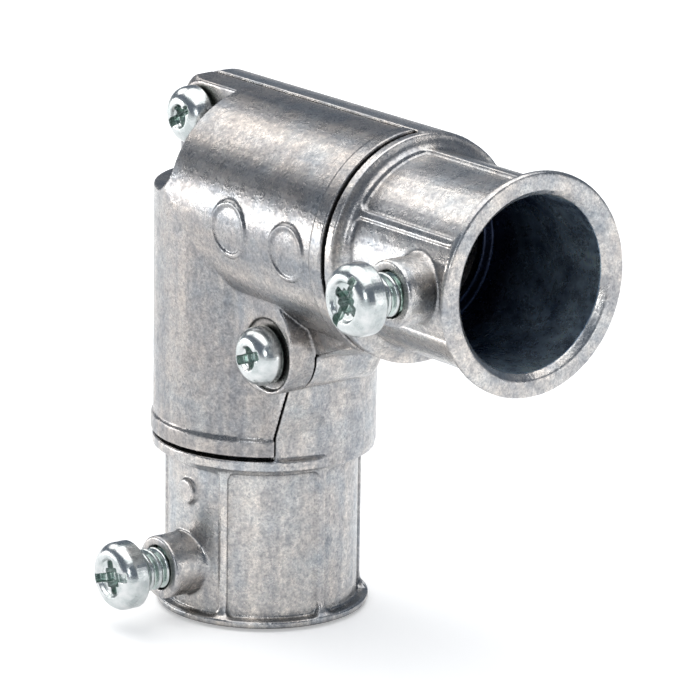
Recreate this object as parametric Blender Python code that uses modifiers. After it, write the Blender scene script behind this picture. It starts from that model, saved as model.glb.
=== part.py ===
"""Set-screw elbow for the inside corner of a conduit run, with a lift-off cover.

Metres, +Z up. The world origin is the centre of the lower socket's mouth, the side
socket points along +X, and the cover and all four screws face -Y. The shapes are
drawn about the bend centre, where the two socket axes cross, LEG above the origin.
Across an arm, "out" is the distance from its axis towards the elbow's outer corner.
"""
import math

import bmesh
import bpy
from mathutils import Matrix, Vector

MM = 0.001

# Sockets
BORE_RADIUS = 9.15 * MM
SOCKET_DEPTH = 17.86 * MM
SOCKET_WALL = 1.6 * MM
STOP_WIDTH = 1.25 * MM
MOUTH_CHAMFER = 0.7 * MM
FLANGE_INSET = 0.1 * MM
FLANGE_WIDTH = 1.15 * MM
FLANGE_FILLET = 1.0 * MM
PANEL_DEPTH = 0.4 * MM
PAD_DEPTH = 0.2 * MM
RIB_WIDTH = 0.85 * MM
RIB_COUNT = 6
PANEL_LEAD = 0.8 * MM
PANEL_CORNER = 0.9 * MM
RIM_RISE = 0.91 * MM
RIM_FACE_WIDTH = 2.15 * MM
RIM_WIDTH = 0.85 * MM
RIM_BACK = 0.5 * MM
RIM_FLARE = 2.0 * MM

# Elbow shell
BODY_STEP = 1.5 * MM
COVER_STEP = 0.2 * MM
COVER_REACH = 25.84 * MM
WALL = 1.6 * MM
BAND_RISE = 0.25 * MM
BAND_WIDTH = 1.95 * MM
END_WALL = 1.2 * MM

# Parting of cover and body, as heights above the arm axes towards -Y
OUTER_SEAM = 0.2 * MM
INNER_SEAM = 6.2 * MM
FIT_GAP = 0.3 * MM

# Outer corner: the ear under the first cover screw, and the pocket over it
EAR_RADIUS = 4.25 * MM
EAR_TOP = 3.0 * MM
EAR_EDGE = 0.8 * MM
EAR_TRIM_ANGLE = 2.0
NOTCH_REACH = 6.5 * MM
NOTCH_FILLET = 3.0 * MM

# Inner corner: the lug under the second cover screw
LUG_STANDOFF = 1.05 * MM
LUG_DROP = 2.5 * MM
LUG_RADIUS = 4.3 * MM
LUG_SHOULDER = 5.0 * MM
LUG_FACING_RADIUS = 3.9 * MM
LUG_FACING_DEPTH = 0.45 * MM
FLARE = 2.9 * MM
FLARE_RISE = 0.9 * MM
BODY_LUG_DEPTH = 2.6 * MM

# Set screws and their bosses
SET_SCREW_SETBACK = 5.9 * MM
BOSS_HEIGHT = 3.35 * MM
BOSS_RADIUS = 3.45 * MM
BOSS_LIP = 0.5 * MM
BOSS_FLARE = 0.5 * MM
BOSS_FLARE_RISE = 0.4 * MM
BOSS_FLARE_DROP = 0.9 * MM
SET_SHANK_RADIUS = 2.3 * MM
SET_SHANK_LENGTH = 6.35 * MM
SET_HEAD_RADIUS = 3.65 * MM
SET_HEAD_FACE_RADIUS = 2.3 * MM
SET_HEAD_RIM = 1.5 * MM
SET_HEAD_HEIGHT = 3.0 * MM
SIDE_SCREW_STANDOFF = 2.7 * MM
LOWER_SCREW_STANDOFF = 3.4 * MM
EJECTOR_RADIUS = 1.35 * MM
EJECTOR_RISE = 0.3 * MM
EJECTOR_SETBACK = 14.1 * MM
EJECTOR_OFFSET = 0.6 * MM

# Cover screws
COVER_SHANK_RADIUS = 2.05 * MM
COVER_SHANK_LENGTH = 7.94 * MM
COVER_HEAD_RADIUS = 3.15 * MM
COVER_HEAD_FACE_RADIUS = 1.5 * MM
COVER_HEAD_RIM = 0.9 * MM
COVER_HEAD_HEIGHT = 2.7 * MM
HOLE_BOTTOM_GAP = 0.8 * MM

# All screws
HEAD_BACK_CHAMFER = 0.25 * MM
SHANK_TIP = 0.7 * MM
DRIVE_SLOT_WIDTH = 0.9 * MM
DRIVE_SLOT_DEPTH = 0.8 * MM
DRIVE_CROSS_SPAN = 3.4 * MM
DRIVE_CROSS_WIDTH = 1.2 * MM
DRIVE_CROSS_DEPTH = 1.5 * MM

# Facets
ROUND_STEPS = 48
SCREW_STEPS = 32
ARC_STEPS = 8
PANEL_STEPS = 6
CORNER_STEPS = 3
SHARP_ANGLE = math.radians(32)
OVERLAP = 1.0 * MM
MERGE = 0.01 * MM

# Radii that follow from the bore
THROAT_RADIUS = BORE_RADIUS - STOP_WIDTH
RIB_RADIUS = BORE_RADIUS + SOCKET_WALL
RIM_RADIUS = RIB_RADIUS + RIM_RISE
RIM_FACE_RADIUS = BORE_RADIUS + RIM_FACE_WIDTH
BODY_RADIUS = RIB_RADIUS + BODY_STEP
COVER_RADIUS = BODY_RADIUS - COVER_STEP
FLANGE_RADIUS = BODY_RADIUS - FLANGE_INSET
CHAMBER_RADIUS = COVER_RADIUS - WALL
BOSS_TOP = RIB_RADIUS + BOSS_HEIGHT
SET_HOLE_RADIUS = SET_SHANK_RADIUS + FIT_GAP
COVER_HOLE_RADIUS = COVER_SHANK_RADIUS + FIT_GAP

# Distances along an arm from the bend centre
END_FACE = COVER_REACH + FIT_GAP
STOP_FACE = END_FACE + END_WALL
LEG = STOP_FACE + SOCKET_DEPTH
SET_SCREW_PLACE = LEG - SET_SCREW_SETBACK
EJECTOR_PLACE = LEG - EJECTOR_SETBACK

# Places of the cover screws and what holds them
OUTER_SCREW = BODY_RADIUS - EAR_RADIUS
NOTCH_SIDE = OUTER_SCREW - NOTCH_REACH
INNER_SCREW = COVER_RADIUS + LUG_STANDOFF
LUG_REACH = INNER_SCREW + LUG_RADIUS
LUG_TOP = COVER_RADIUS - LUG_DROP
FLARE_CREASE = INNER_SEAM + FLARE_RISE
SEAM_STEP = FIT_GAP / 2
BEND = Vector((0.0, 0.0, LEG))


def material(name, colour, roughness, metallic):
    """A plain Principled material."""
    made = bpy.data.materials.new(name)
    made.use_nodes = True
    shader = made.node_tree.nodes["Principled BSDF"]
    shader.inputs["Base Color"].default_value = (*colour, 1.0)
    shader.inputs["Roughness"].default_value = roughness
    shader.inputs["Metallic"].default_value = metallic
    made.diffuse_color = (*colour, 1.0)
    return made


def object_of(bm, name):
    """Turns a bmesh into an object of the working collection."""
    bmesh.ops.recalc_face_normals(bm, faces=bm.faces)
    mesh = bpy.data.meshes.new(name)
    bm.to_mesh(mesh)
    bm.free()
    made = bpy.data.objects.new(name, mesh)
    bpy.context.scene.collection.objects.link(made)
    return made


def bake(made):
    """Replaces an object's mesh by its evaluated one and clears its modifiers."""
    bpy.context.view_layer.update()
    graph = bpy.context.evaluated_depsgraph_get()
    old = made.data
    made.data = bpy.data.meshes.new_from_object(made.evaluated_get(graph))
    made.modifiers.clear()
    bpy.data.meshes.remove(old)
    return made


def combine(target, tool, operation):
    """Joins the tool to the target or cuts it out of it, and removes the tool."""
    step = target.modifiers.new(operation, "BOOLEAN")
    step.operation = operation
    step.solver = "EXACT"
    step.object = tool
    bake(target)
    bpy.data.objects.remove(tool)
    return target


def cut(target, *tools):
    for tool in tools:
        combine(target, tool, "DIFFERENCE")
    return target


def join(target, *tools):
    for tool in tools:
        combine(target, tool, "UNION")
    return target


def copy_of(source, name):
    """A second object with its own copy of the mesh."""
    made = bpy.data.objects.new(name, source.data.copy())
    bpy.context.scene.collection.objects.link(made)
    return made


def swept(name, rings):
    """Extrudes the face of the first ring of points through all the others."""
    bm = bmesh.new()
    face = bm.faces.new([bm.verts.new(point) for point in rings[0]])
    for number, ring in enumerate(rings[1:]):
        grown = bmesh.ops.extrude_face_region(bm, geom=[face])
        if number and face.is_valid:
            bmesh.ops.delete(bm, geom=[face], context="FACES_ONLY")
        face = next(item for item in grown["geom"] if isinstance(item, bmesh.types.BMFace))
        for vert, point in zip(face.verts, ring):
            vert.co = point
    return object_of(bm, name)


def hull(name, points):
    """The convex solid round a few points."""
    bm = bmesh.new()
    for point in points:
        bm.verts.new(point)
    bmesh.ops.convex_hull(bm, input=bm.verts)
    return object_of(bm, name)


def turned(name, profile, steps):
    """Revolves a closed (radius, height) profile about local Z with a Screw modifier."""
    bm = bmesh.new()
    verts = [bm.verts.new((radius, 0.0, height)) for radius, height in profile]
    for first, second in zip(verts, verts[1:]):
        bm.edges.new((first, second))
    if profile[0][0] > 0:
        bm.edges.new((verts[-1], verts[0]))
    mesh = bpy.data.meshes.new(name)
    bm.to_mesh(mesh)
    bm.free()
    made = bpy.data.objects.new(name, mesh)
    bpy.context.scene.collection.objects.link(made)
    screw = made.modifiers.new("turn", "SCREW")
    screw.axis = "Z"
    screw.steps = steps
    screw.render_steps = steps
    screw.use_merge_vertices = True
    screw.merge_threshold = MERGE
    return bake(made)


def cylinder(name, radius, centre, near, far, steps=SCREW_STEPS):
    """A cylinder along Y about (x, z) = centre, from near to far, with a flat towards each mitre."""
    place = Matrix.Translation((centre[0], (near + far) / 2, centre[1]))
    turn = Matrix.Rotation(math.pi / steps, 4, "Y") @ Matrix.Rotation(math.pi / 2, 4, "X")
    bm = bmesh.new()
    bmesh.ops.create_cone(bm, cap_ends=True, segments=steps, radius1=radius, radius2=radius,
                          depth=far - near, matrix=place @ turn)
    return object_of(bm, name)


def block(name, low, high):
    """A box between two corners."""
    bm = bmesh.new()
    low, high = Vector(low), Vector(high)
    place = Matrix.Translation((low + high) / 2) @ Matrix.Diagonal((*(high - low), 1.0))
    bmesh.ops.create_cube(bm, size=1.0, matrix=place)
    return object_of(bm, name)


def arc(centre, radius, start, end, steps=ARC_STEPS):
    """Points of an arc in a plane, from one angle to another in degrees."""
    angles = [math.radians(start + (end - start) * step / steps) for step in range(steps + 1)]
    return [(centre[0] + radius * math.cos(a), centre[1] + radius * math.sin(a)) for a in angles]


def quarter(centre, across, along, steps=4):
    """Points of a quarter of an oval, from its side to its end."""
    angles = [math.pi / 2 * step / steps for step in range(steps + 1)]
    return [(centre[0] + across * math.cos(a), centre[1] + along * math.sin(a)) for a in angles]


def prism(name, outlines):
    """A solid along Y through (y, outline) pairs, each outline a list of (x, z)."""
    return swept(name, [[(x, y, z) for x, z in outline] for y, outline in outlines])


def mitred(name, section, stations):
    """Sweeps an (out, y) section round the bend, from the side arm to the lower arm.

    A station is a distance from the bend centre and the rise of the surface there.
    """
    rings = [[(reach, y, out) for out, y in section(rise)] for reach, rise in stations]
    rings.append([(-out, y, out) for out, y in section(stations[-1][1])])
    rings += [[(-out, y, -reach) for out, y in section(rise)] for reach, rise in reversed(stations)]
    return swept(name, rings)


def reach_at(radius, height):
    """Half the width of a round barrel at a height from its axis."""
    return math.sqrt(radius ** 2 - height ** 2)


def body_section(rise):
    """Far half of a barrel with a drafted inner wall, drawn up past both seams."""
    radius = BODY_RADIUS + rise
    above = OUTER_SEAM + OVERLAP
    start = math.degrees(math.asin(above / radius))
    points = [(out, -height) for out, height in arc((0, 0), radius, start, -180, ROUND_STEPS // 2)]
    draft = (radius - reach_at(COVER_RADIUS, INNER_SEAM)) / INNER_SEAM
    top = INNER_SEAM + OVERLAP
    return points + [(top * draft - radius, -top)]


def round_section(radius):
    return arc((0, 0), radius, 0, 360 - 360 / ROUND_STEPS, ROUND_STEPS - 1)


def cover_section(rise):
    return round_section(COVER_RADIUS + rise)


def chamber_section(rise):
    return round_section(CHAMBER_RADIUS + rise)


def chamber():
    """The round passage inside both shells, past their ends."""
    return mitred("chamber", chamber_section, [(STOP_FACE, 0.0)])


def parting(step, side):
    """Waste on one side of the seam: -1 is the cover's side, 1 the body's."""
    inner = (LUG_RADIUS - INNER_SCREW + OVERLAP, step - INNER_SEAM)
    outer = (OUTER_SCREW - EAR_RADIUS - OVERLAP, step - OUTER_SEAM)
    low, high = -LUG_REACH - OVERLAP, BODY_RADIUS + 2 * OVERLAP
    waste = [(low, inner[1]), inner, outer, (high, outer[1]), (high, side * high), (low, side * high)]
    return mitred("parting", lambda rise: waste, [(STOP_FACE + OVERLAP, 0.0)])


def corner_round():
    """Waste outside the rounded outer corner, which turns in at the ear's top edge."""
    beyond = BODY_RADIUS + 2 * OVERLAP
    centre = (-OUTER_SCREW, OUTER_SCREW)
    clear = EAR_RADIUS + FIT_GAP / 6

    def outline(radius):
        start = [(-beyond, OUTER_SCREW), (-OUTER_SCREW - clear, OUTER_SCREW)]
        end = [(-OUTER_SCREW, OUTER_SCREW + clear), (-OUTER_SCREW, beyond), (-beyond, beyond)]
        return start + arc(centre, radius, 180 - EAR_TRIM_ANGLE, 90 + EAR_TRIM_ANGLE) + end
    return prism("corner_round", [
        (-beyond, outline(clear - EAR_EDGE)), (-EAR_TOP, outline(clear - EAR_EDGE)),
        (EAR_EDGE - EAR_TOP, outline(clear)), (beyond, outline(clear)),
    ])


def notch(grow, near, far):
    """The square pocket over the ear, or with grow the same pocket and its wall."""
    side = NOTCH_SIDE - grow
    fillet = NOTCH_FILLET + grow
    beyond = BODY_RADIUS + 3 * OVERLAP
    bend = arc((-side - fillet, side + fillet), fillet, 0, -90)
    outline = [(-side, beyond)] + bend + [(-beyond, side), (-beyond, beyond)]
    return prism("notch", [(near, outline), (far, outline)])


def lug_outline(inner):
    """Fills the inner corner out to the round lug, with a round shoulder on each barrel."""
    along, across = LUG_REACH - LUG_SHOULDER, -inner - LUG_SHOULDER
    near_side = arc((along, across), LUG_SHOULDER, 90, 0)
    near_lower = arc((-across, -along), LUG_SHOULDER, -90, -180)
    tip = arc((INNER_SCREW, -INNER_SCREW), LUG_RADIUS, 0, -90)
    return [(inner, -inner)] + near_side + tip + near_lower


def both_arms(points):
    """The points as drawn on the lower arm, and mirrored at the mitre on the side arm."""
    return points, [(-z, y, -x) for x, y, z in points]


def flares():
    """Wedges that widen the inner walls from the end bands to the lug."""
    inset = FIT_GAP / 4
    crease = reach_at(COVER_RADIUS, FLARE_CREASE) - inset
    wall = reach_at(COVER_RADIUS, INNER_SEAM) - inset
    foot = reach_at(COVER_RADIUS, OVERLAP) - inset
    points = []
    for reach, widen in ((COVER_REACH - BAND_WIDTH - inset, 0.0), (LUG_REACH - OVERLAP, FLARE)):
        points += [(crease, -FLARE_CREASE, -reach), (wall + widen, -INNER_SEAM, -reach),
                   (foot, OVERLAP, -reach), (foot - OVERLAP, OVERLAP, -reach),
                   (crease - OVERLAP, -INNER_SEAM, -reach)]
    return [hull("flare", side) for side in both_arms(points)]


def outer_form(name, section, stations):
    """Solid outer shape of a shell, still whole across the seam."""
    made = mitred(name, section, stations)
    lug = [(y, lug_outline(INNER_SCREW - LUG_RADIUS - 2 * OVERLAP)) for y in (-LUG_TOP, BODY_LUG_DEPTH)]
    join(made, prism("lug", lug), *flares())
    return cut(made, corner_round())


def hub_profile():
    """Closed outline of one socket: radius and distance from the bend centre."""
    rim_back = LEG - RIM_WIDTH
    nose = quarter((RIM_FACE_RADIUS, rim_back + RIM_BACK), RIM_RADIUS - RIM_FACE_RADIUS,
                   RIM_WIDTH - RIM_BACK)
    flare = quarter((RIM_RADIUS, rim_back - RIM_FLARE), RIB_RADIUS - RIM_RADIUS, RIM_FLARE)
    flange_top = END_FACE + FLANGE_WIDTH
    fillet = quarter((FLANGE_RADIUS, flange_top + FLANGE_FILLET), RIB_RADIUS - FLANGE_RADIUS,
                     -FLANGE_FILLET)
    outer = list(reversed(flare + nose)) + fillet + [(FLANGE_RADIUS, END_FACE)]
    inner = [(THROAT_RADIUS, END_FACE), (THROAT_RADIUS, STOP_FACE), (BORE_RADIUS, STOP_FACE)]
    return outer + inner + [(BORE_RADIUS, LEG - MOUTH_CHAMFER), (BORE_RADIUS + MOUTH_CHAMFER, LEG)]


def panel(index):
    """Cutter for the shallow recess between two ribs; number 0 is the pad with the boss."""
    spacing = 2 * math.pi / RIB_COUNT
    middle = -math.pi / 2 + index * spacing
    half = spacing / 2 - RIB_WIDTH / (2 * RIB_RADIUS)
    floor = RIB_RADIUS - (PANEL_DEPTH if index else PAD_DEPTH)
    start = END_FACE + FLANGE_WIDTH + PANEL_LEAD
    end = LEG - RIM_WIDTH
    corner = PANEL_CORNER / RIB_RADIUS
    turns = quarter((corner - half, PANEL_CORNER), -corner, -PANEL_CORNER, CORNER_STEPS)
    straight = [((half - corner) * (2 * k / PANEL_STEPS - 1), 0.0) for k in range(1, PANEL_STEPS)]
    rings = []
    for angle, inset in turns + straight + [(-angle, inset) for angle, inset in reversed(turns)]:
        turn = Vector((math.cos(middle + angle), math.sin(middle + angle)))
        low, high = turn * floor, turn * (RIB_RADIUS + OVERLAP)
        near, far = start + inset, end - inset
        rings.append([(*low, near), (*low, far), (*high, far), (*high, near)])
    return swept("panel", rings)


def boss():
    """Set-screw boss with a flared root and a rounded lip, on local -Y of a socket."""
    root = BORE_RADIUS + (RIB_RADIUS - BORE_RADIUS) / 4
    lip = quarter((BOSS_RADIUS - BOSS_LIP, BOSS_TOP - BOSS_LIP), BOSS_LIP, BOSS_LIP)
    foot_top = RIB_RADIUS - PAD_DEPTH + BOSS_FLARE_RISE
    foot = quarter((BOSS_RADIUS + BOSS_FLARE, foot_top), -BOSS_FLARE,
                   -BOSS_FLARE_RISE - BOSS_FLARE_DROP)
    profile = [(0.0, BOSS_TOP)] + lip[::-1] + foot[:-1] + [(BOSS_RADIUS, root), (0.0, root)]
    made = turned("boss", profile, SCREW_STEPS)
    made.data.transform(Matrix.Translation((0, 0, SET_SCREW_PLACE)) @ Matrix.Rotation(math.pi / 2, 4, "X"))
    return made


def hub():
    """One socket about local +Z, with its mouth at LEG and its boss on local -Y."""
    made = turned("hub", hub_profile(), ROUND_STEPS)
    cut(made, *[panel(index) for index in range(RIB_COUNT)])
    join(made, boss())
    hole = cylinder("set_hole", SET_HOLE_RADIUS, (0, SET_SCREW_PLACE), -BOSS_TOP - OVERLAP, -THROAT_RADIUS)
    return cut(made, hole)


def elbow_body(look):
    """Far shell, both sockets, and the bosses that take the cover screws."""
    made = outer_form("elbow_body", body_section, [(END_FACE + END_WALL / 2, 0.0)])
    passage = chamber()
    outer_post, inner_post = (-OUTER_SCREW, OUTER_SCREW), (INNER_SCREW, -INNER_SCREW)
    cut(passage, cylinder("outer_post", EAR_RADIUS, outer_post, -LUG_TOP, BODY_RADIUS + OVERLAP))
    cut(passage, cylinder("inner_post", LUG_RADIUS, inner_post, -BODY_RADIUS, BODY_LUG_DEPTH))
    cut(made, passage, parting(SEAM_STEP, -1))
    socket = hub()
    side = copy_of(socket, "side_hub")
    side.data.transform(Matrix.Rotation(math.pi / 2, 4, "Y"))
    socket.data.transform(Matrix.Rotation(math.pi, 4, "Y"))
    join(made, side, socket)
    face = RIB_RADIUS - PAD_DEPTH
    mark = (EJECTOR_OFFSET, -EJECTOR_PLACE)
    join(made, cylinder("ejector", EJECTOR_RADIUS, mark, -face - EJECTOR_RISE, OVERLAP - face))
    for place, seat in ((-OUTER_SCREW, EAR_TOP), (INNER_SCREW, LUG_TOP - LUG_FACING_DEPTH)):
        bottom = COVER_SHANK_LENGTH - seat - FIT_GAP + HOLE_BOTTOM_GAP
        cut(made, cylinder("thread_hole", COVER_HOLE_RADIUS, (place, -place), -BODY_RADIUS, bottom))
    return finished(made, look, BEND)


def access_cover(look):
    """Near shell: two half barrels with end bands, the outer ear and the inner lug."""
    band_back = COVER_REACH - BAND_WIDTH
    stations = [(COVER_REACH, BAND_RISE), (band_back, BAND_RISE), (band_back - BAND_RISE, 0.0)]
    made = outer_form("access_cover", cover_section, stations)
    beyond = COVER_RADIUS + 2 * OVERLAP
    passage = chamber()
    cut(passage, notch(WALL, -beyond, beyond))
    cut(made, notch(0.0, -beyond, -EAR_TOP), passage, parting(-SEAM_STEP, 1))
    for place in (-OUTER_SCREW, INNER_SCREW):
        cut(made, cylinder("screw_hole", COVER_HOLE_RADIUS, (place, -place), -beyond, beyond))
    floor = LUG_TOP - LUG_FACING_DEPTH
    cut(made, cylinder("facing", LUG_FACING_RADIUS, (INNER_SCREW, -INNER_SCREW), -beyond, -floor))
    return finished(made, look, BEND)


def drive(head_radius, top):
    """Cutters for the slot across a head and the cross in its middle."""
    slot = block("slot", (-head_radius - OVERLAP, -DRIVE_SLOT_WIDTH / 2, top - DRIVE_SLOT_DEPTH),
                 (head_radius + OVERLAP, DRIVE_SLOT_WIDTH / 2, top + OVERLAP))
    cross = [block("cross", (-x / 2, -y / 2, top - DRIVE_CROSS_DEPTH), (x / 2, y / 2, top + 2 * OVERLAP))
             for x, y in ((DRIVE_CROSS_SPAN, DRIVE_CROSS_WIDTH), (DRIVE_CROSS_WIDTH, DRIVE_CROSS_SPAN))]
    return slot, join(*cross)


def screw(name, head, shank_radius, shank_length, drive_angle):
    """A screw along -Y with its head's back at 0 and its shank behind."""
    height = head[0][1]
    profile = [(0.0, height)] + head
    profile += [(shank_radius, 0.0), (shank_radius, SHANK_TIP - shank_length),
                (shank_radius - SHANK_TIP, -shank_length), (0.0, -shank_length)]
    made = turned(name, profile, SCREW_STEPS)
    tools = drive(head[-1][0], height)
    for tool in tools:
        tool.data.transform(Matrix.Rotation(math.radians(drive_angle), 4, "Z"))
    cut(made, *tools)
    made.data.transform(Matrix.Rotation(math.pi / 2, 4, "X"))
    return made


def domed_head(radius, face_radius, rim, height):
    """Outline of a head with a round shoulder from its rim up to a flat face."""
    shoulder = quarter((face_radius, rim), radius - face_radius, height - rim)
    return shoulder[::-1] + [(radius, HEAD_BACK_CHAMFER), (radius - HEAD_BACK_CHAMFER, 0.0)]


def set_screw(name, look, direction, standoff, drive_angle):
    """A set screw on its socket's boss, backed out by its standoff."""
    head = domed_head(SET_HEAD_RADIUS, SET_HEAD_FACE_RADIUS, SET_HEAD_RIM, SET_HEAD_HEIGHT)
    made = screw(name, head, SET_SHANK_RADIUS, SET_SHANK_LENGTH, drive_angle)
    along = Vector(direction) * SET_SCREW_PLACE
    return finished(made, look, BEND + along + Vector((0, -BOSS_TOP - standoff, 0)))


def cover_screw(name, look, place, seat, drive_angle):
    """A cover screw with its head just off its seat."""
    head = domed_head(COVER_HEAD_RADIUS, COVER_HEAD_FACE_RADIUS, COVER_HEAD_RIM, COVER_HEAD_HEIGHT)
    made = screw(name, head, COVER_SHANK_RADIUS, COVER_SHANK_LENGTH, drive_angle)
    return finished(made, look, BEND + Vector((place, -seat - FIT_GAP, -place)))


def finished(made, look, place):
    """Gives a sub-part its place, material, smooth shading and collection."""
    made.location = place
    made.data.materials.clear()
    made.data.materials.append(look)
    made.data.shade_smooth()
    made.data.set_sharp_from_angle(angle=SHARP_ANGLE)
    bpy.context.scene.collection.objects.unlink(made)
    bpy.data.collections["inside_corner_elbow"].objects.link(made)
    return made


def main():
    for old in list(bpy.data.objects):
        bpy.data.objects.remove(old)
    home = bpy.data.collections.new("inside_corner_elbow")
    bpy.context.scene.collection.children.link(home)
    casting = material("cast_zinc", (0.56, 0.54, 0.52), 0.38, 0.9)
    lid = material("cast_zinc_cover", (0.53, 0.5, 0.48), 0.42, 0.9)
    plated = material("plated_steel", (0.68, 0.72, 0.7), 0.22, 1.0)
    elbow_body(casting)
    access_cover(lid)
    cover_screw("cover_screw_outer", plated, -OUTER_SCREW, EAR_TOP, 35)
    cover_screw("cover_screw_inner", plated, INNER_SCREW, LUG_TOP - LUG_FACING_DEPTH, 20)
    set_screw("set_screw_side", plated, (1, 0, 0), SIDE_SCREW_STANDOFF, 60)
    set_screw("set_screw_lower", plated, (0, 0, -1), LOWER_SCREW_STANDOFF, 15)


main()
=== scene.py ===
"""Looks of the inside corner elbow: cast zinc shells, plated screws, pale floor, soft light."""

import math

import bmesh
import bpy
from mathutils import Matrix, Vector


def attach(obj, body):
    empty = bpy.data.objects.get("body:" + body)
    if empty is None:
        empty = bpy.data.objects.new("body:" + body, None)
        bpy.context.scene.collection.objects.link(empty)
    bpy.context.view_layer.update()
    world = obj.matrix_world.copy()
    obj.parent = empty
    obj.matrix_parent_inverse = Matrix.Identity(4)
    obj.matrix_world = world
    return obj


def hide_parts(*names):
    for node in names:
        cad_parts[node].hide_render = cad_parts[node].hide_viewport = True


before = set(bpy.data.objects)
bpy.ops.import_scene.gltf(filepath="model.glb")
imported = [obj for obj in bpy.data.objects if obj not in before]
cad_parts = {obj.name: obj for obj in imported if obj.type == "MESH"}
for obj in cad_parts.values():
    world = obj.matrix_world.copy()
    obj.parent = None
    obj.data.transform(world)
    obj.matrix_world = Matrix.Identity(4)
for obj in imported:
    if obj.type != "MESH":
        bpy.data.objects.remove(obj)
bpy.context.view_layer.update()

MM = 0.001
LEG = 45.2 * MM
BEND = Vector((0.0, 0.0, LEG))

# Sockets
BORE_RADIUS = 9.15 * MM
SOCKET_WALL = 1.6 * MM
STOP_WIDTH = 1.25 * MM
MOUTH_CHAMFER = 0.7 * MM
FLANGE_INSET = 0.1 * MM
FLANGE_WIDTH = 1.15 * MM
FLANGE_FILLET = 1.0 * MM
PANEL_DEPTH = 0.4 * MM
PAD_DEPTH = 0.2 * MM
RIB_WIDTH = 0.85 * MM
RIB_COUNT = 6
PANEL_LEAD = 0.8 * MM
PANEL_CORNER = 0.9 * MM
RIM_RISE = 0.91 * MM
RIM_FACE_WIDTH = 2.15 * MM
RIM_WIDTH = 0.85 * MM
RIM_BACK = 0.5 * MM
RIM_FLARE = 2.0 * MM

# Shells
BODY_STEP = 1.5 * MM
COVER_STEP = 0.2 * MM
COVER_REACH = 25.84 * MM
WALL = 1.6 * MM
BAND_RISE = 0.25 * MM
BAND_WIDTH = 1.95 * MM
BAND_GAP = 0.17 * MM
END_WALL = 1.2 * MM
OUTER_SEAM = 0.2 * MM
INNER_SEAM = 6.2 * MM
SEAM_STEP = 0.09 * MM
FIT_GAP = 0.3 * MM
EAR_RADIUS = 4.25 * MM
EAR_TOP = 3.0 * MM
EAR_EDGE = 0.8 * MM
EAR_CLEARANCE = 0.05 * MM
EAR_TRIM_ANGLE = 2.0
NOTCH_REACH = 6.5 * MM
NOTCH_FILLET = 3.0 * MM
LUG_STANDOFF = 1.05 * MM
LUG_DROP = 2.5 * MM
LUG_RADIUS = 4.3 * MM
LUG_SHOULDER = 5.0 * MM
LUG_FACING_RADIUS = 3.9 * MM
LUG_FACING_DEPTH = 0.45 * MM
FLARE = 2.9 * MM
FLARE_RISE = 0.9 * MM
FLARE_INSET = FIT_GAP / 4
BODY_LUG_DEPTH = 2.6 * MM

# Raised rings: each one's place along the side barrel and its turn up from the front, in degrees
RINGS = ((9.6 * MM, 0.0), (19.6 * MM, -2.0))
RING_RADIUS = 2.8 * MM
RING_TUBE = 0.26 * MM
RING_STEPS = 72
RING_TUBE_STEPS = 12

# Bosses and the mark of an ejector pin
SET_SCREW_SETBACK = 5.9 * MM
BOSS_HEIGHT = 3.35 * MM
BOSS_RADIUS = 3.45 * MM
BOSS_LIP = 0.3 * MM
BOSS_FLARE = 0.5 * MM
BOSS_FLARE_RISE = 0.4 * MM
BOSS_FLARE_DROP = 0.9 * MM
EJECTOR_RADIUS = 1.35 * MM
EJECTOR_RISE = 0.42 * MM
EJECTOR_SETBACK = 14.1 * MM
EJECTOR_OFFSET = 0.6 * MM

# Set screws
SET_SHANK_RADIUS = 2.3 * MM
SET_SHANK_LENGTH = 6.35 * MM
SET_HEAD_RADIUS = 3.72 * MM
SET_HEAD_FACE_RADIUS = 2.3 * MM
SET_HEAD_RIM = 1.5 * MM
SET_HEAD_HEIGHT = 3.0 * MM
SET_PITCH = 1.06 * MM
SET_HOLE_CLEARANCE = 0.12 * MM
SIDE_SCREW_STANDOFF = 2.7 * MM
LOWER_SCREW_STANDOFF = 3.4 * MM
SIDE_DRIVE_ANGLE = 60
LOWER_DRIVE_ANGLE = 15

# Cover screws
COVER_SHANK_RADIUS = 2.05 * MM
COVER_SHANK_LENGTH = 7.94 * MM
COVER_HEAD_RADIUS = 3.15 * MM
COVER_HEAD_FACE_RADIUS = 1.5 * MM
COVER_HEAD_RIM = 0.9 * MM
COVER_HEAD_HEIGHT = 2.7 * MM
COVER_PITCH = 0.79 * MM
HOLE_BOTTOM_GAP = 0.8 * MM
OUTER_DRIVE_ANGLE = 35
INNER_DRIVE_ANGLE = 20

# All screws: the thread's depth is a share of its pitch, its root and flank are shares of half a pitch
HEAD_BACK_CHAMFER = 0.25 * MM
SHANK_OVERLAP = 0.3 * MM
TIP_CHAMFER = 0.5 * MM
TIP_SLOPE = 0.9
THREAD_DEPTH = 0.5
THREAD_ROOT = 0.18
THREAD_FLANK = 0.5

# Drive recess: the spans are shares of the flat face of the head
DISH_INSET = 0.1 * MM
DISH_FLARE = 0.6 * MM
DISH_DRAFT = 0.3 * MM
DISH_DEPTH = 0.42 * MM
SLOT_SPAN = 1.36
SLOT_WIDTH = 1.05 * MM
SLOT_DEPTH = 1.0 * MM
SLOT_CORNER = 0.2 * MM
CROSS_SPAN = 0.82
CROSS_WIDTH = 1.1 * MM
CROSS_DEPTH = 1.5 * MM
CROSS_CORNER = 0.3 * MM
SQUARE_SPAN = 0.46
SQUARE_DEPTH = 1.9 * MM
RECESS_FOOT_GROWTH = -0.12 * MM
RECESS_TOP_GROWTH = 0.05 * MM

# Facets of the shapes before their edges are rounded
ROUND_STEPS = 120
SCREW_STEPS = 64
ARC_STEPS = 16
DOME_STEPS = 14
PANEL_STEPS = 10
QUARTER_STEPS = 8
RECESS_CORNER_STEPS = 6
CORNER_STEPS = 5
THREAD_ROWS = 10
OVERLAP = 1.0 * MM
MERGE = 0.001 * MM

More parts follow.
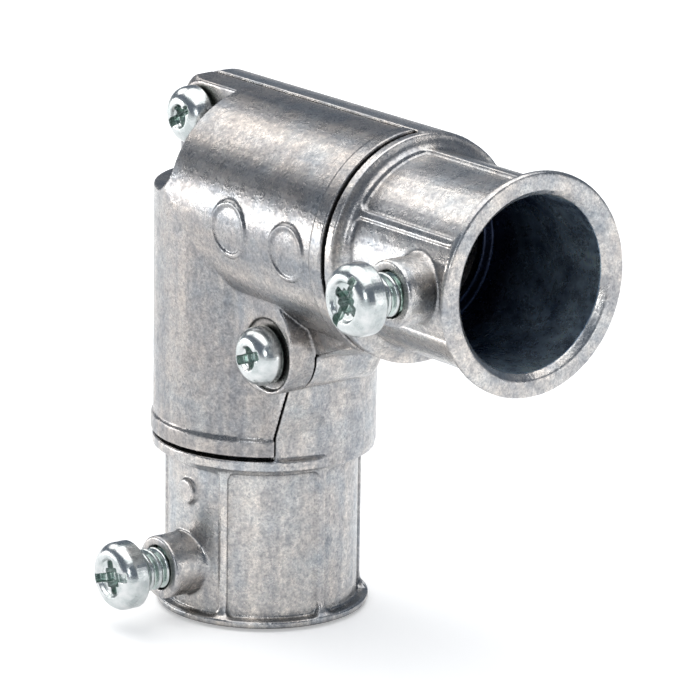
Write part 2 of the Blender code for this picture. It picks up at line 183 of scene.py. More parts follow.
# Rounding of the edges
CASTING_VOXEL = 0.16 * MM
HEAD_VOXEL = 0.06 * MM
SMOOTH_FACTOR = 0.5
SMOOTH_PASSES = 2
ELBOW_TRIANGLES = 196000
COVER_TRIANGLES = 170000
HEAD_TRIANGLES = 60000

# Sizes and places that follow from those above
THROAT_RADIUS = BORE_RADIUS - STOP_WIDTH
RIB_RADIUS = BORE_RADIUS + SOCKET_WALL
RIM_RADIUS = RIB_RADIUS + RIM_RISE
RIM_FACE_RADIUS = BORE_RADIUS + RIM_FACE_WIDTH
PAD_RADIUS = RIB_RADIUS - PAD_DEPTH
BODY_RADIUS = RIB_RADIUS + BODY_STEP
COVER_RADIUS = BODY_RADIUS - COVER_STEP
FLANGE_RADIUS = BODY_RADIUS - FLANGE_INSET
CHAMBER_RADIUS = COVER_RADIUS - WALL
BOSS_TOP = RIB_RADIUS + BOSS_HEIGHT
BOSS_ROOT = BORE_RADIUS + (RIB_RADIUS - BORE_RADIUS) / 4
SET_HOLE_RADIUS = SET_SHANK_RADIUS + SET_HOLE_CLEARANCE
COVER_HOLE_RADIUS = COVER_SHANK_RADIUS + FIT_GAP
END_FACE = COVER_REACH + FIT_GAP
STOP_FACE = END_FACE + END_WALL
SET_SCREW_PLACE = LEG - SET_SCREW_SETBACK
EJECTOR_PLACE = LEG - EJECTOR_SETBACK
OUTER_SCREW = BODY_RADIUS - EAR_RADIUS
NOTCH_SIDE = OUTER_SCREW - NOTCH_REACH
INNER_SCREW = COVER_RADIUS + LUG_STANDOFF
LUG_REACH = INNER_SCREW + LUG_RADIUS
LUG_TOP = COVER_RADIUS - LUG_DROP
LUG_SEAT = LUG_TOP - LUG_FACING_DEPTH
FLARE_CREASE = INNER_SEAM + FLARE_RISE

# Turns local Z towards -Y, the side that the cover and the screws face
TO_FRONT = Matrix.Rotation(math.pi / 2, 4, "X")


# Modelling helpers

def object_of(bm, name):
    """Makes an object of a bmesh, with its faces turned outwards."""
    bmesh.ops.recalc_face_normals(bm, faces=bm.faces)
    mesh = bpy.data.meshes.new(name)
    bm.to_mesh(mesh)
    bm.free()
    made = bpy.data.objects.new(name, mesh)
    bpy.context.scene.collection.objects.link(made)
    return made


def copy_of(source, name):
    made = bpy.data.objects.new(name, source.data.copy())
    bpy.context.scene.collection.objects.link(made)
    return made


def bake(made):
    """Replaces an object's mesh by its evaluated one and clears its modifiers."""
    bpy.context.view_layer.update()
    graph = bpy.context.evaluated_depsgraph_get()
    old = made.data
    made.data = bpy.data.meshes.new_from_object(made.evaluated_get(graph))
    made.modifiers.clear()
    bpy.data.meshes.remove(old)
    return made


def combine(target, tool, operation):
    """Joins or cuts an object with another one, which is used up."""
    step = target.modifiers.new(operation, "BOOLEAN")
    step.operation = operation
    step.solver = "EXACT"
    step.object = tool
    bake(target)
    bpy.data.objects.remove(tool)
    return target


def cut(target, *tools):
    for tool in tools:
        combine(target, tool, "DIFFERENCE")
    return target


def join(target, *tools):
    for tool in tools:
        combine(target, tool, "UNION")
    return target


def with_shells(made, *extras):
    """Adds closed shells that reach into the casting; the remesh makes them one skin with it."""
    bm = bmesh.new()
    bm.from_mesh(made.data)
    for extra in extras:
        bm.from_mesh(extra.data)
        bpy.data.objects.remove(extra)
    bm.to_mesh(made.data)
    bm.free()
    return made


def softened(made, voxel, triangles):
    """Rounds every edge as a casting's are, and keeps the mesh below a number of triangles."""
    remesh = made.modifiers.new("remesh", "REMESH")
    remesh.mode = "VOXEL"
    remesh.voxel_size = voxel
    smooth = made.modifiers.new("smooth", "SMOOTH")
    smooth.factor = SMOOTH_FACTOR
    smooth.iterations = SMOOTH_PASSES
    bake(made)
    count = 2 * len(made.data.polygons)
    if count > triangles:
        thin = made.modifiers.new("thin", "DECIMATE")
        thin.ratio = triangles / count
        bake(made)
    made.data.shade_smooth()
    return made


def swept(name, rings):
    """Extrudes the face of the first ring of points through all the others."""
    bm = bmesh.new()
    face = bm.faces.new([bm.verts.new(point) for point in rings[0]])
    for number, ring in enumerate(rings[1:]):
        grown = bmesh.ops.extrude_face_region(bm, geom=[face])
        if number and face.is_valid:
            bmesh.ops.delete(bm, geom=[face], context="FACES_ONLY")
        face = next(item for item in grown["geom"] if isinstance(item, bmesh.types.BMFace))
        for vert, point in zip(face.verts, ring):
            vert.co = point
    return object_of(bm, name)


def skin(bm, rings):
    """Joins each closed ring of points to the next one with four-sided faces."""
    for first, second in zip(rings, rings[1:]):
        for number in range(len(first)):
            other = (number + 1) % len(first)
            bm.faces.new((first[number], first[other], second[other], second[number]))


def hull(name, points):
    bm = bmesh.new()
    for point in points:
        bm.verts.new(point)
    bmesh.ops.convex_hull(bm, input=bm.verts)
    return object_of(bm, name)


def turned(name, profile, steps):
    """Revolves a closed (radius, height) profile about local Z."""
    bm = bmesh.new()
    verts = [bm.verts.new((radius, 0.0, height)) for radius, height in profile]
    for first, second in zip(verts, verts[1:]):
        bm.edges.new((first, second))
    if profile[0][0] > 0:
        bm.edges.new((verts[-1], verts[0]))
    mesh = bpy.data.meshes.new(name)
    bm.to_mesh(mesh)
    bm.free()
    made = bpy.data.objects.new(name, mesh)
    bpy.context.scene.collection.objects.link(made)
    screw = made.modifiers.new("turn", "SCREW")
    screw.axis = "Z"
    screw.steps = steps
    screw.render_steps = steps
    screw.use_merge_vertices = True
    screw.merge_threshold = MERGE
    return bake(made)


def cylinder(name, radius, centre, near, far):
    """A cylinder along Y, between two values of Y, round an (x, z) centre."""
    place = Matrix.Translation((centre[0], (near + far) / 2, centre[1]))
    turn = Matrix.Rotation(math.pi / SCREW_STEPS, 4, "Y") @ TO_FRONT
    bm = bmesh.new()
    bmesh.ops.create_cone(bm, cap_ends=True, segments=SCREW_STEPS, radius1=radius,
                          radius2=radius, depth=far - near, matrix=place @ turn)
    return object_of(bm, name)


def arc(centre, radius, start, end, steps=ARC_STEPS):
    """Points on a circle between two angles in degrees."""
    angles = [math.radians(start + (end - start) * step / steps) for step in range(steps + 1)]
    return [(centre[0] + radius * math.cos(a), centre[1] + radius * math.sin(a)) for a in angles]


def quarter(centre, across, along, steps=QUARTER_STEPS):
    """Points on a quarter of an ellipse, from its across axis to its along axis."""
    angles = [math.pi / 2 * step / steps for step in range(steps + 1)]
    return [(centre[0] + across * math.cos(a), centre[1] + along * math.sin(a)) for a in angles]


def prism(name, outlines):
    """Sweeps (x, z) outlines through their values of Y."""
    return swept(name, [[(x, y, z) for x, z in outline] for y, outline in outlines])


def mitred(name, section, stations):
    """Sweeps an (out, y) section round the bend, from the side arm to the lower arm."""
    rings = [[(reach, y, out) for out, y in section(rise)] for reach, rise in stations]
    rings.append([(-out, y, out) for out, y in section(stations[-1][1])])
    rings += [[(-out, y, -reach) for out, y in section(rise)] for reach, rise in reversed(stations)]
    return swept(name, rings)


# Barrels, drawn about the point where the two arms' axes meet

def reach_at(radius, height):
    """How far a circle reaches sideways at a height."""
    return math.sqrt(radius ** 2 - height ** 2)


def round_section(radius):
    return arc((0, 0), radius, 0, 360 - 360 / ROUND_STEPS, ROUND_STEPS - 1)


def cover_section(rise):
    return round_section(COVER_RADIUS + rise)


def body_section(rise):
    """The body's barrel: round at the back, with a wall that runs straight on to the inner seam."""
    radius = BODY_RADIUS + rise
    above = OUTER_SEAM + OVERLAP
    start = math.degrees(math.asin(above / radius))
    points = [(out, -height) for out, height in arc((0, 0), radius, start, -180, ROUND_STEPS // 2)]
    draft = (radius - reach_at(COVER_RADIUS, INNER_SEAM)) / INNER_SEAM
    top = INNER_SEAM + OVERLAP
    return points + [(top * draft - radius, -top)]


def chamber():
    """The round passage through both barrels."""
    return mitred("chamber", lambda rise: round_section(CHAMBER_RADIUS + rise), [(STOP_FACE, 0.0)])


def parting(step, side):
    """A cutter for all that lies in front of the seam (side -1) or behind it (side 1)."""
    inner = (LUG_RADIUS - INNER_SCREW + OVERLAP, step - INNER_SEAM)
    outer = (OUTER_SCREW - EAR_RADIUS - OVERLAP, step - OUTER_SEAM)
    low, high = -LUG_REACH - OVERLAP, BODY_RADIUS + 2 * OVERLAP
    waste = [(low, inner[1]), inner, outer, (high, outer[1]), (high, side * high), (low, side * high)]
    return mitred("parting", lambda rise: waste, [(STOP_FACE + OVERLAP, 0.0)])


def corner_round():
    """A cutter for the outer corner that leaves the ear round."""
    beyond = BODY_RADIUS + 2 * OVERLAP
    centre = (-OUTER_SCREW, OUTER_SCREW)
    clear = EAR_RADIUS + EAR_CLEARANCE

    def outline(radius):
        start = [(-beyond, OUTER_SCREW), (-OUTER_SCREW - clear, OUTER_SCREW)]
        end = [(-OUTER_SCREW, OUTER_SCREW + clear), (-OUTER_SCREW, beyond), (-beyond, beyond)]
        return start + arc(centre, radius, 180 - EAR_TRIM_ANGLE, 90 + EAR_TRIM_ANGLE) + end
    return prism("corner_round", [
        (-beyond, outline(clear - EAR_EDGE)), (-EAR_TOP, outline(clear - EAR_EDGE)),
        (EAR_EDGE - EAR_TOP, outline(clear)), (beyond, outline(clear)),
    ])


def notch(grow, near, far):
    """The pocket over the outer ear, made larger all round and cut between two values of Y."""
    side = NOTCH_SIDE - grow
    fillet = NOTCH_FILLET + grow
    beyond = BODY_RADIUS + 3 * OVERLAP
    bend = arc((-side - fillet, side + fillet), fillet, 0, -90)
    outline = [(-side, beyond)] + bend + [(-beyond, side), (-beyond, beyond)]
    return prism("notch", [(near, outline), (far, outline)])


def lug_outline(inner):
    """The lug from the front: a round tip, with a round shoulder towards each arm."""
    along, across = LUG_REACH - LUG_SHOULDER, -inner - LUG_SHOULDER
    near_side = arc((along, across), LUG_SHOULDER, 90, 0)
    near_lower = arc((-across, -along), LUG_SHOULDER, -90, -180)
    tip = arc((INNER_SCREW, -INNER_SCREW), LUG_RADIUS, 0, -90)
    return [(inner, -inner)] + near_side + tip + near_lower


def both_arms(points):
    """The points on the lower arm and their mirror image on the side arm."""
    return points, [(-z, y, -x) for x, y, z in points]


def flares():
    """The inner walls of the two arms, which widen towards the lug."""
    crease = reach_at(COVER_RADIUS, FLARE_CREASE) - FLARE_INSET
    wall = reach_at(COVER_RADIUS, INNER_SEAM) + FLARE_INSET
    foot = reach_at(COVER_RADIUS, OVERLAP) - FLARE_INSET
    start = COVER_REACH - BAND_WIDTH - FLARE_INSET
    points = []
    for reach, widen in ((start, 0.0), (LUG_REACH - OVERLAP, FLARE)):
        points += [(crease, -FLARE_CREASE, -reach), (wall + widen, -INNER_SEAM, -reach),
                   (foot, OVERLAP, -reach), (foot - OVERLAP, OVERLAP, -reach),
                   (crease - OVERLAP, -INNER_SEAM, -reach)]
    return [hull("flare", side) for side in both_arms(points)]


def outer_form(name, section, stations):
    """Both barrels with the lug and the flares, before a passage or a seam is cut."""
    made = mitred(name, section, stations)
    inner = INNER_SCREW - LUG_RADIUS - 2 * OVERLAP
    lug = [(y, lug_outline(inner)) for y in (-LUG_TOP, BODY_LUG_DEPTH)]
    join(made, prism("lug", lug), *flares())
    return cut(made, corner_round())


# Sockets, turned about local Z with the bend at 0

def hub_profile():
    """A socket's (radius, height) outline: rim, fillet, flange, throat, stop, bore and mouth."""
    rim_back = LEG - RIM_WIDTH
    nose = quarter((RIM_FACE_RADIUS, rim_back + RIM_BACK), RIM_RADIUS - RIM_FACE_RADIUS,
                   RIM_WIDTH - RIM_BACK)
    flare = quarter((RIM_RADIUS, rim_back - RIM_FLARE), RIB_RADIUS - RIM_RADIUS, RIM_FLARE)
    flange_top = END_FACE + FLANGE_WIDTH
    fillet = quarter((FLANGE_RADIUS, flange_top + FLANGE_FILLET), RIB_RADIUS - FLANGE_RADIUS,
                     -FLANGE_FILLET)
    outer = list(reversed(flare + nose)) + fillet + [(FLANGE_RADIUS, END_FACE)]
    inner = [(THROAT_RADIUS, END_FACE), (THROAT_RADIUS, STOP_FACE), (BORE_RADIUS, STOP_FACE)]
    return outer + inner + [(BORE_RADIUS, LEG - MOUTH_CHAMFER), (BORE_RADIUS + MOUTH_CHAMFER, LEG)]


def panel(index):
    """A cutter for one shallow panel between two ribs. Panel 0 is the pad under the boss."""
    spacing = 2 * math.pi / RIB_COUNT
    middle = -math.pi / 2 + index * spacing
    half = spacing / 2 - RIB_WIDTH / (2 * RIB_RADIUS)
    floor_radius = RIB_RADIUS - PANEL_DEPTH if index else PAD_RADIUS
    start = END_FACE + FLANGE_WIDTH + PANEL_LEAD
    end = LEG - RIM_WIDTH
    corner = PANEL_CORNER / RIB_RADIUS
    turns = quarter((corner - half, PANEL_CORNER), -corner, -PANEL_CORNER, CORNER_STEPS)
    straight = [((half - corner) * (2 * step / PANEL_STEPS - 1), 0.0)
                for step in range(1, PANEL_STEPS)]
    rings = []
    for angle, inset in turns + straight + [(-angle, inset) for angle, inset in reversed(turns)]:
        turn = Vector((math.cos(middle + angle), math.sin(middle + angle)))
        low, high = turn * floor_radius, turn * (RIB_RADIUS + OVERLAP)
        rings.append([(*low, start + inset), (*low, end - inset),
                      (*high, end - inset), (*high, start + inset)])
    return swept("panel", rings)


def boss():
    """The set screw's boss, which stands on the pad of a socket."""
    lip = quarter((BOSS_RADIUS - BOSS_LIP, BOSS_TOP - BOSS_LIP), BOSS_LIP, BOSS_LIP)
    foot = quarter((BOSS_RADIUS + BOSS_FLARE, PAD_RADIUS + BOSS_FLARE_RISE), -BOSS_FLARE,
                   -BOSS_FLARE_RISE - BOSS_FLARE_DROP)
    profile = [(0.0, BOSS_TOP)] + lip[::-1] + foot[:-1] + [(BOSS_RADIUS, BOSS_ROOT), (0.0, BOSS_ROOT)]
    made = turned("boss", profile, SCREW_STEPS)
    made.data.transform(Matrix.Translation((0, 0, SET_SCREW_PLACE)) @ TO_FRONT)
    return made


def hub():
    """One socket with its panels, its boss and the set screw's hole."""
    made = turned("hub", hub_profile(), ROUND_STEPS)
    cut(made, *[panel(index) for index in range(RIB_COUNT)])
    join(made, boss())
    hole = cylinder("set_hole", SET_HOLE_RADIUS, (0, SET_SCREW_PLACE), -BOSS_TOP - OVERLAP,
                    -THROAT_RADIUS)
    return cut(made, hole)


def sockets():
    """The side arm's socket and the lower arm's, which are one shape."""
    lower = hub()
    side = copy_of(lower, "side_hub")
    side.data.transform(Matrix.Rotation(math.pi / 2, 4, "Y"))
    lower.data.transform(Matrix.Rotation(math.pi, 4, "Y"))
    return side, lower


# Castings

def passage_round_posts():
    """The passage, less the two posts that take the cover screws."""
    passage = chamber()
    outer = cylinder("outer_post", EAR_RADIUS, (-OUTER_SCREW, OUTER_SCREW), -LUG_TOP,
                     BODY_RADIUS + OVERLAP)
    inner = cylinder("inner_post", LUG_RADIUS, (INNER_SCREW, -INNER_SCREW), -BODY_RADIUS,
                     BODY_LUG_DEPTH)
    return cut(passage, outer, inner)


def elbow_casting():
    """The far half of both barrels, with the sockets, the posts and the cover screws' holes."""
    made = outer_form("elbow_casting", body_section, [(END_FACE + END_WALL / 2, 0.0)])
    cut(made, passage_round_posts(), parting(SEAM_STEP, -1))
    join(made, *sockets())
    mark = (EJECTOR_OFFSET, -EJECTOR_PLACE)
    join(made, cylinder("ejector", EJECTOR_RADIUS, mark, -PAD_RADIUS - EJECTOR_RISE,
                        OVERLAP - PAD_RADIUS))
    for place, seat in ((-OUTER_SCREW, EAR_TOP), (INNER_SCREW, LUG_SEAT)):
        bottom = COVER_SHANK_LENGTH - seat - FIT_GAP + HOLE_BOTTOM_GAP
        cut(made, cylinder("thread_hole", COVER_HOLE_RADIUS, (place, -place), -BODY_RADIUS, bottom))
    return made


def raised_ring(along, degrees):
    """A plain raised ring wrapped on the side barrel, turned up from its front by an angle."""
    turn = math.radians(degrees)
    bm = bmesh.new()
    rings = []
    for step in range(RING_STEPS):
        angle = 2 * math.pi * step / RING_STEPS
        ring = []
        for side in range(RING_TUBE_STEPS):
            round_tube = 2 * math.pi * side / RING_TUBE_STEPS
            radius = RING_RADIUS + RING_TUBE * math.cos(round_tube)
            height = COVER_RADIUS + RING_TUBE * math.sin(round_tube)
            lift = turn + radius * math.sin(angle) / COVER_RADIUS
            ring.append(bm.verts.new((along + radius * math.cos(angle), -height * math.cos(lift),
                                      height * math.sin(lift))))
        rings.append(ring)
    skin(bm, rings + rings[:1])
    return object_of(bm, "ring")


def cover_casting():
    """The near half of both barrels, with the bands, the pocket, the lug and the raised rings."""
    band_back = COVER_REACH - BAND_WIDTH
    stations = [(COVER_REACH - BAND_GAP, BAND_RISE), (band_back, BAND_RISE),
                (band_back - BAND_RISE, 0.0)]
    made = outer_form("cover_casting", cover_section, stations)
    beyond = COVER_RADIUS + 2 * OVERLAP
    passage = cut(chamber(), notch(WALL, -beyond, beyond))
    cut(made, notch(0.0, -beyond, -EAR_TOP), passage, parting(-SEAM_STEP, 1))
    for place in (-OUTER_SCREW, INNER_SCREW):
        cut(made, cylinder("screw_hole", COVER_HOLE_RADIUS, (place, -place), -beyond, beyond))
    cut(made, cylinder("facing", LUG_FACING_RADIUS, (INNER_SCREW, -INNER_SCREW), -beyond, -LUG_SEAT))
    return with_shells(made, *[raised_ring(along, degrees) for along, degrees in RINGS])


# Screws, drawn about local Z with the back of the head at 0 and the shank below it

def thread_radius(radius, pitch, height, turn):
    """The radius of a helical thread at a height, after a share of a turn."""
    phase = (height / pitch - turn) % 1.0
    crest = 1.0 - abs(2.0 * phase - 1.0)
    level = min(1.0, max(0.0, (crest - THREAD_ROOT) / THREAD_FLANK))
    return radius - THREAD_DEPTH * pitch * (1.0 - level)


def threaded(name, radius, length, pitch):
    """A shank with a helical thread: rings of points whose radius follows the helix."""
    bm = bmesh.new()
    rows = int(length / pitch * THREAD_ROWS)
    rings = []
    for row in range(rows + 1):
        height = -length * row / rows
        widest = radius - TIP_CHAMFER + (length + height) * TIP_SLOPE
        ring = []
        for step in range(SCREW_STEPS):
            turn = step / SCREW_STEPS
            here = min(thread_radius(radius, pitch, height, turn), widest)
            angle = 2 * math.pi * turn
            ring.append(bm.verts.new((here * math.cos(angle), here * math.sin(angle), height)))
        rings.append(ring)
    skin(bm, rings)
    bm.faces.new(rings[0])
    bm.faces.new(list(reversed(rings[-1])))
    return object_of(bm, name)


def recess(name, span, width, low, high, corner):
    """A cutter with rounded corners, a little wider towards the top."""
    half, side = span / 2, width / 2
    rings = []
    for height, grow in ((low, RECESS_FOOT_GROWTH), (high, RECESS_TOP_GROWTH)):
        outline = []
        for right, up, start in ((1, 1, 0), (-1, 1, 90), (-1, -1, 180), (1, -1, 270)):
            centre = (right * (half - corner), up * (side - corner))
            outline += arc(centre, corner + grow, start, start + 90, RECESS_CORNER_STEPS)
        rings.append([(x, y, height) for x, y in outline])
    return swept(name, rings)


def dish(radius, top):
    """A shallow cone that opens the recess at the face."""
    above, bottom = top + OVERLAP, top - DISH_DEPTH
    profile = [(0.0, above), (radius + DISH_FLARE, above), (radius - DISH_DRAFT, bottom), (0.0, bottom)]
    return turned("dish", profile, SCREW_STEPS)


def drive_cutters(face_radius, top, angle):
    """The combination recess: a dish, a slot, a cross and a square hole in the middle."""
    slot = SLOT_SPAN * 2 * face_radius
    cross = CROSS_SPAN * 2 * face_radius
    square = SQUARE_SPAN * 2 * face_radius
    above = top + OVERLAP
    tools = [
        dish(face_radius - DISH_INSET, top),
        recess("slot", slot, SLOT_WIDTH, top - SLOT_DEPTH, above, SLOT_CORNER),
        recess("cross", cross, CROSS_WIDTH, top - CROSS_DEPTH, above, CROSS_CORNER),
        recess("cross", CROSS_WIDTH, cross, top - CROSS_DEPTH, above, CROSS_CORNER),
        recess("square", square, square, top - SQUARE_DEPTH, above, SLOT_CORNER),
    ]
    for tool in tools:
        tool.data.transform(Matrix.Rotation(math.radians(angle), 4, "Z"))
    return tools


def domed(radius, face_radius, rim, height):
    """The outline of a head, from its flat face over the dome to its back."""
    shoulder = quarter((face_radius, rim), radius - face_radius, height - rim, DOME_STEPS)
    return shoulder[::-1] + [(radius, HEAD_BACK_CHAMFER), (radius - HEAD_BACK_CHAMFER, 0.0)]


def screw(name, outline, shank_radius, shank_length, angle, pitch):
    """A threaded screw with a domed head that faces -Y."""
    face_radius, height = outline[0]
    head = turned(name, [(0.0, height)] + outline + [(0.0, 0.0)], SCREW_STEPS)
    cut(head, *drive_cutters(face_radius, height, angle))
    soft = softened(head, HEAD_VOXEL, HEAD_TRIANGLES)
    shank = threaded(name + "_shank", shank_radius, shank_length + SHANK_OVERLAP, pitch)
    shank.data.transform(Matrix.Translation((0, 0, SHANK_OVERLAP)))
    join(soft, shank)
    soft.data.transform(TO_FRONT)
    soft.data.shade_smooth()
    return soft


# Values of the materials. A noise is its scale, detail and roughness.

CLOUDS = (210.0, 5.0, 0.62)
MARKS = (420.0, 3.0, 0.5)
DENTS = (420.0, 3.0, 0.5)
PATCHES = (620.0, 4.0, 0.6)
PORES = (1700.0, 4.0, 0.65)
GRAIN = (4200.0, 3.0, 0.6)
PLATING_CLOUDS = (700.0, 4.0, 0.6)
PLATING_GRAIN = (5200.0, 3.0, 0.6)
MARK_STRETCH = 0.06
NOISE_RANGE = (0.3, 0.7)
CLOUD_STOPS = (0.32, 0.44, 0.58)

# Tones: a value of the noise, and the colour that it gives or multiplies
PLAIN = (1.0, 1.0, 1.0)
BODY_WARM = (0.51, 0.487, 0.469)
BODY_COOL = (0.445, 0.464, 0.478)
COVER_WARM = (0.37, 0.348, 0.334)
COVER_COOL = (0.315, 0.325, 0.336)
MARK_AND_PAINTED_STREAK_TONES = ((0.36, (0.79, 0.82, 0.86)), (0.5, PLAIN), (0.62, (1.18, 1.165, 1.14)))
PATCH_TONES = ((0.3, (0.84, 0.85, 0.87)), (0.52, PLAIN), (0.7, (1.07, 1.06, 1.04)))
PORE_TONES = ((0.34, (0.66, 0.67, 0.7)), (0.5, PLAIN), (0.64, (1.2, 1.18, 1.16)))
GRAIN_TONES = ((0.34, (0.62, 0.62, 0.65)), (0.5, PLAIN), (0.64, (1.3, 1.28, 1.25)))
PLATING_TONES = ((0.35, (0.46, 0.5, 0.5)), (0.5, (0.57, 0.6, 0.6)), (0.68, (0.68, 0.69, 0.69)))
# Green tint and painted shade in the screws' hollows, keyed by openness
TINT_AND_PAINTED_SHADE_TONES = ((0.15, (0.6, 0.76, 0.67)), (0.55, (0.82, 0.92, 0.87)), (0.85, PLAIN))
# Painted shade in the bores, darker and bluer with depth
BORE_PAINTED_SHADE_TONES = ((0.0, (0.02, 0.025, 0.045)), (0.15, (0.04, 0.05, 0.09)), (0.4, (0.2, 0.27, 0.38)),
              (0.8, (0.54, 0.65, 0.76)))
BORE_CLOUD_TONES = ((0.36, (0.5, 0.55, 0.65)), (0.62, (1.7, 1.7, 1.6)))
PORE_STRENGTH = 0.7
GRAIN_STRENGTH = 0.6

# Finish: the roughness at both ends of a noise's range, and each bump's strength and height
CAST_METALLIC = 0.9
CAST_ROUGHNESS = (0.34, 0.21)
PORE_ROUGHNESS = (0.07, -0.05)
DENT_BUMP = (0.3, 0.25 * MM)
PORE_BUMP = (0.35, 0.08 * MM)
GRAIN_BUMP = (0.5, 0.04 * MM)
PLATING_METALLIC = 0.95
PLATING_ROUGHNESS = (0.30, 0.18)
PLATING_BUMP = (0.18, 0.03 * MM)

# Painted shade in hollows, and outer edges brightened as wear and a painted highlight: how far a surface
# looks for its neighbours, and the openness that gives the lowest factor, the openness that gives the
# highest, and the two factors
WIDE_PAINTED_SHADE = 3.4 * MM
WIDE_PAINTED_SHADE_LEVELS = (0.25, 0.8, 0.45, 1.0)
TIGHT_PAINTED_SHADE = 0.6 * MM
TIGHT_PAINTED_SHADE_LEVELS = (0.5, 0.9, 0.25, 1.0)
BRIGHT_EDGE_WIDTH = 0.35 * MM
BRIGHT_EDGE_LEVELS = (0.55, 0.95, 0.0, 1.0)
BRIGHT_EDGE_GAIN = (1.5, 1.5, 1.5)
PLATING_PAINTED_SHADE = 1.0 * MM
CASTING_SAMPLES = 4
PLATING_SAMPLES = 8

# The bores' painted shade stops between these distances past the bore's radius, and short of the bend
BORE_EDGE_NEAR = 0.1 * MM
BORE_EDGE_FAR = 0.25 * MM
BORE_BEND_GAP = 2.0 * MM


# Node helpers

def nodes_of(name):
    made = bpy.data.materials.new(name)
    made.use_nodes = True
    tree = made.node_tree
    return made, tree, tree.nodes["Principled BSDF"]


def link(tree, start, end):
    tree.links.new(start, end)


def noise(tree, coordinates, scale, detail, roughness):
    made = tree.nodes.new("ShaderNodeTexNoise")
    made.inputs["Scale"].default_value = scale
    made.inputs["Detail"].default_value = detail
    made.inputs["Roughness"].default_value = roughness
    link(tree, coordinates, made.inputs["Vector"])
    return made.outputs["Fac"]


def ramp(tree, value, stops):
    made = tree.nodes.new("ShaderNodeValToRGB")
    line = made.color_ramp
    while len(line.elements) < len(stops):
        line.elements.new(0.5)
    for element, (place, colour) in zip(line.elements, stops):
        element.position = place
        element.color = (*colour, 1.0)
    link(tree, value, made.inputs["Fac"])
    return made.outputs["Color"]


def levels(tree, value, from_low, from_high, to_low, to_high):
    made = tree.nodes.new("ShaderNodeMapRange")
    made.inputs["From Min"].default_value = from_low
    made.inputs["From Max"].default_value = from_high
    made.inputs["To Min"].default_value = to_low
    made.inputs["To Max"].default_value = to_high
    link(tree, value, made.inputs["Value"])
    return made.outputs["Result"]


def mixed(tree, factor, first, second, blend="MIX"):
    made = tree.nodes.new("ShaderNodeMix")
    made.data_type = "RGBA"
    made.blend_type = blend
    for socket, value in (("Factor", factor), ("A", first), ("B", second)):
        where = [item for item in made.inputs if item.name == socket and item.enabled][0]
        if isinstance(value, (int, float)):
            where.default_value = value
        elif isinstance(value, tuple):
            where.default_value = (*value, 1.0)
        else:
            link(tree, value, where)
    return [item for item in made.outputs if item.name == "Result" and item.enabled][0]


def multiplied(tree, colour, other, strength=1.0):
    return mixed(tree, strength, colour, other, "MULTIPLY")


def maths(tree, operation, *values):
    made = tree.nodes.new("ShaderNodeMath")
    made.operation = operation
    for socket, value in zip(made.inputs, values):
        if isinstance(value, (int, float)):
            socket.default_value = value
        else:
            link(tree, value, socket)
    return made.outputs[0]


def parts_of(tree, coordinates):
    """The X, Y and Z of a place or a direction."""
    split = tree.nodes.new("ShaderNodeSeparateXYZ")
    link(tree, coordinates, split.inputs[0])
    return split.outputs


def openness(tree, distance, samples, inside=False):
    """How open a surface is within a distance: 1 in the open, less where others close in."""
    made = tree.nodes.new("ShaderNodeAmbientOcclusion")
    made.samples = samples
    made.inside = inside
    made.inputs["Distance"].default_value = distance
    return made.outputs["AO"]


def bumped(tree, height, strength, distance, under=None):
    """Raises a height over the surface, or over another bump that lies under it."""
    made = tree.nodes.new("ShaderNodeBump")
    made.inputs["Strength"].default_value = strength
    made.inputs["Distance"].default_value = distance
    link(tree, height, made.inputs["Height"])
    if under is not None:
        link(tree, under, made.inputs["Normal"])
    return made.outputs["Normal"]


# Materials

def drawn_marks_and_painted_streaks(tree, place):
    """Noise drawn out along each arm, as marks of the metal leaving its die and as painted streaks of
    reflection.
    """
    parts = parts_of(tree, place)
    streaks = []
    for stretched in (0, 2):
        joined = tree.nodes.new("ShaderNodeCombineXYZ")
        for axis in range(3):
            share = MARK_STRETCH if axis == stretched else 1.0
            link(tree, maths(tree, "MULTIPLY", parts[axis], share), joined.inputs[axis])
        streaks.append(noise(tree, joined.outputs[0], *MARKS))
    lower = maths(tree, "GREATER_THAN", maths(tree, "SUBTRACT", LEG, parts[2]), parts[0])
    side = maths(tree, "SUBTRACT", 1.0, lower)
    return maths(tree, "ADD", maths(tree, "MULTIPLY", side, streaks[0]),
                 maths(tree, "MULTIPLY", lower, streaks[1]))


def painted_shade_and_bright_edges(tree, colour):
    """Brightens a colour along outer edges, as wear and a painted highlight, and darkens it in hollows as
    painted shade.
    """
    # Painted highlight and wear: outer edges are made brighter
    edge = levels(tree, openness(tree, BRIGHT_EDGE_WIDTH, CASTING_SAMPLES, True), *BRIGHT_EDGE_LEVELS)
    colour = mixed(tree, edge, multiplied(tree, colour, BRIGHT_EDGE_GAIN), colour)
    # Painted shade: the colour is darkened where nearby surfaces close in, as if shade fell there
    wide = levels(tree, openness(tree, WIDE_PAINTED_SHADE, CASTING_SAMPLES), *WIDE_PAINTED_SHADE_LEVELS)
    tight = levels(tree, openness(tree, TIGHT_PAINTED_SHADE, CASTING_SAMPLES), *TIGHT_PAINTED_SHADE_LEVELS)
    shade = maths(tree, "MULTIPLY", wide, tight)
    return multiplied(tree, colour, ramp(tree, shade, ((0.0, (0.0, 0.0, 0.0)), (1.0, PLAIN))))


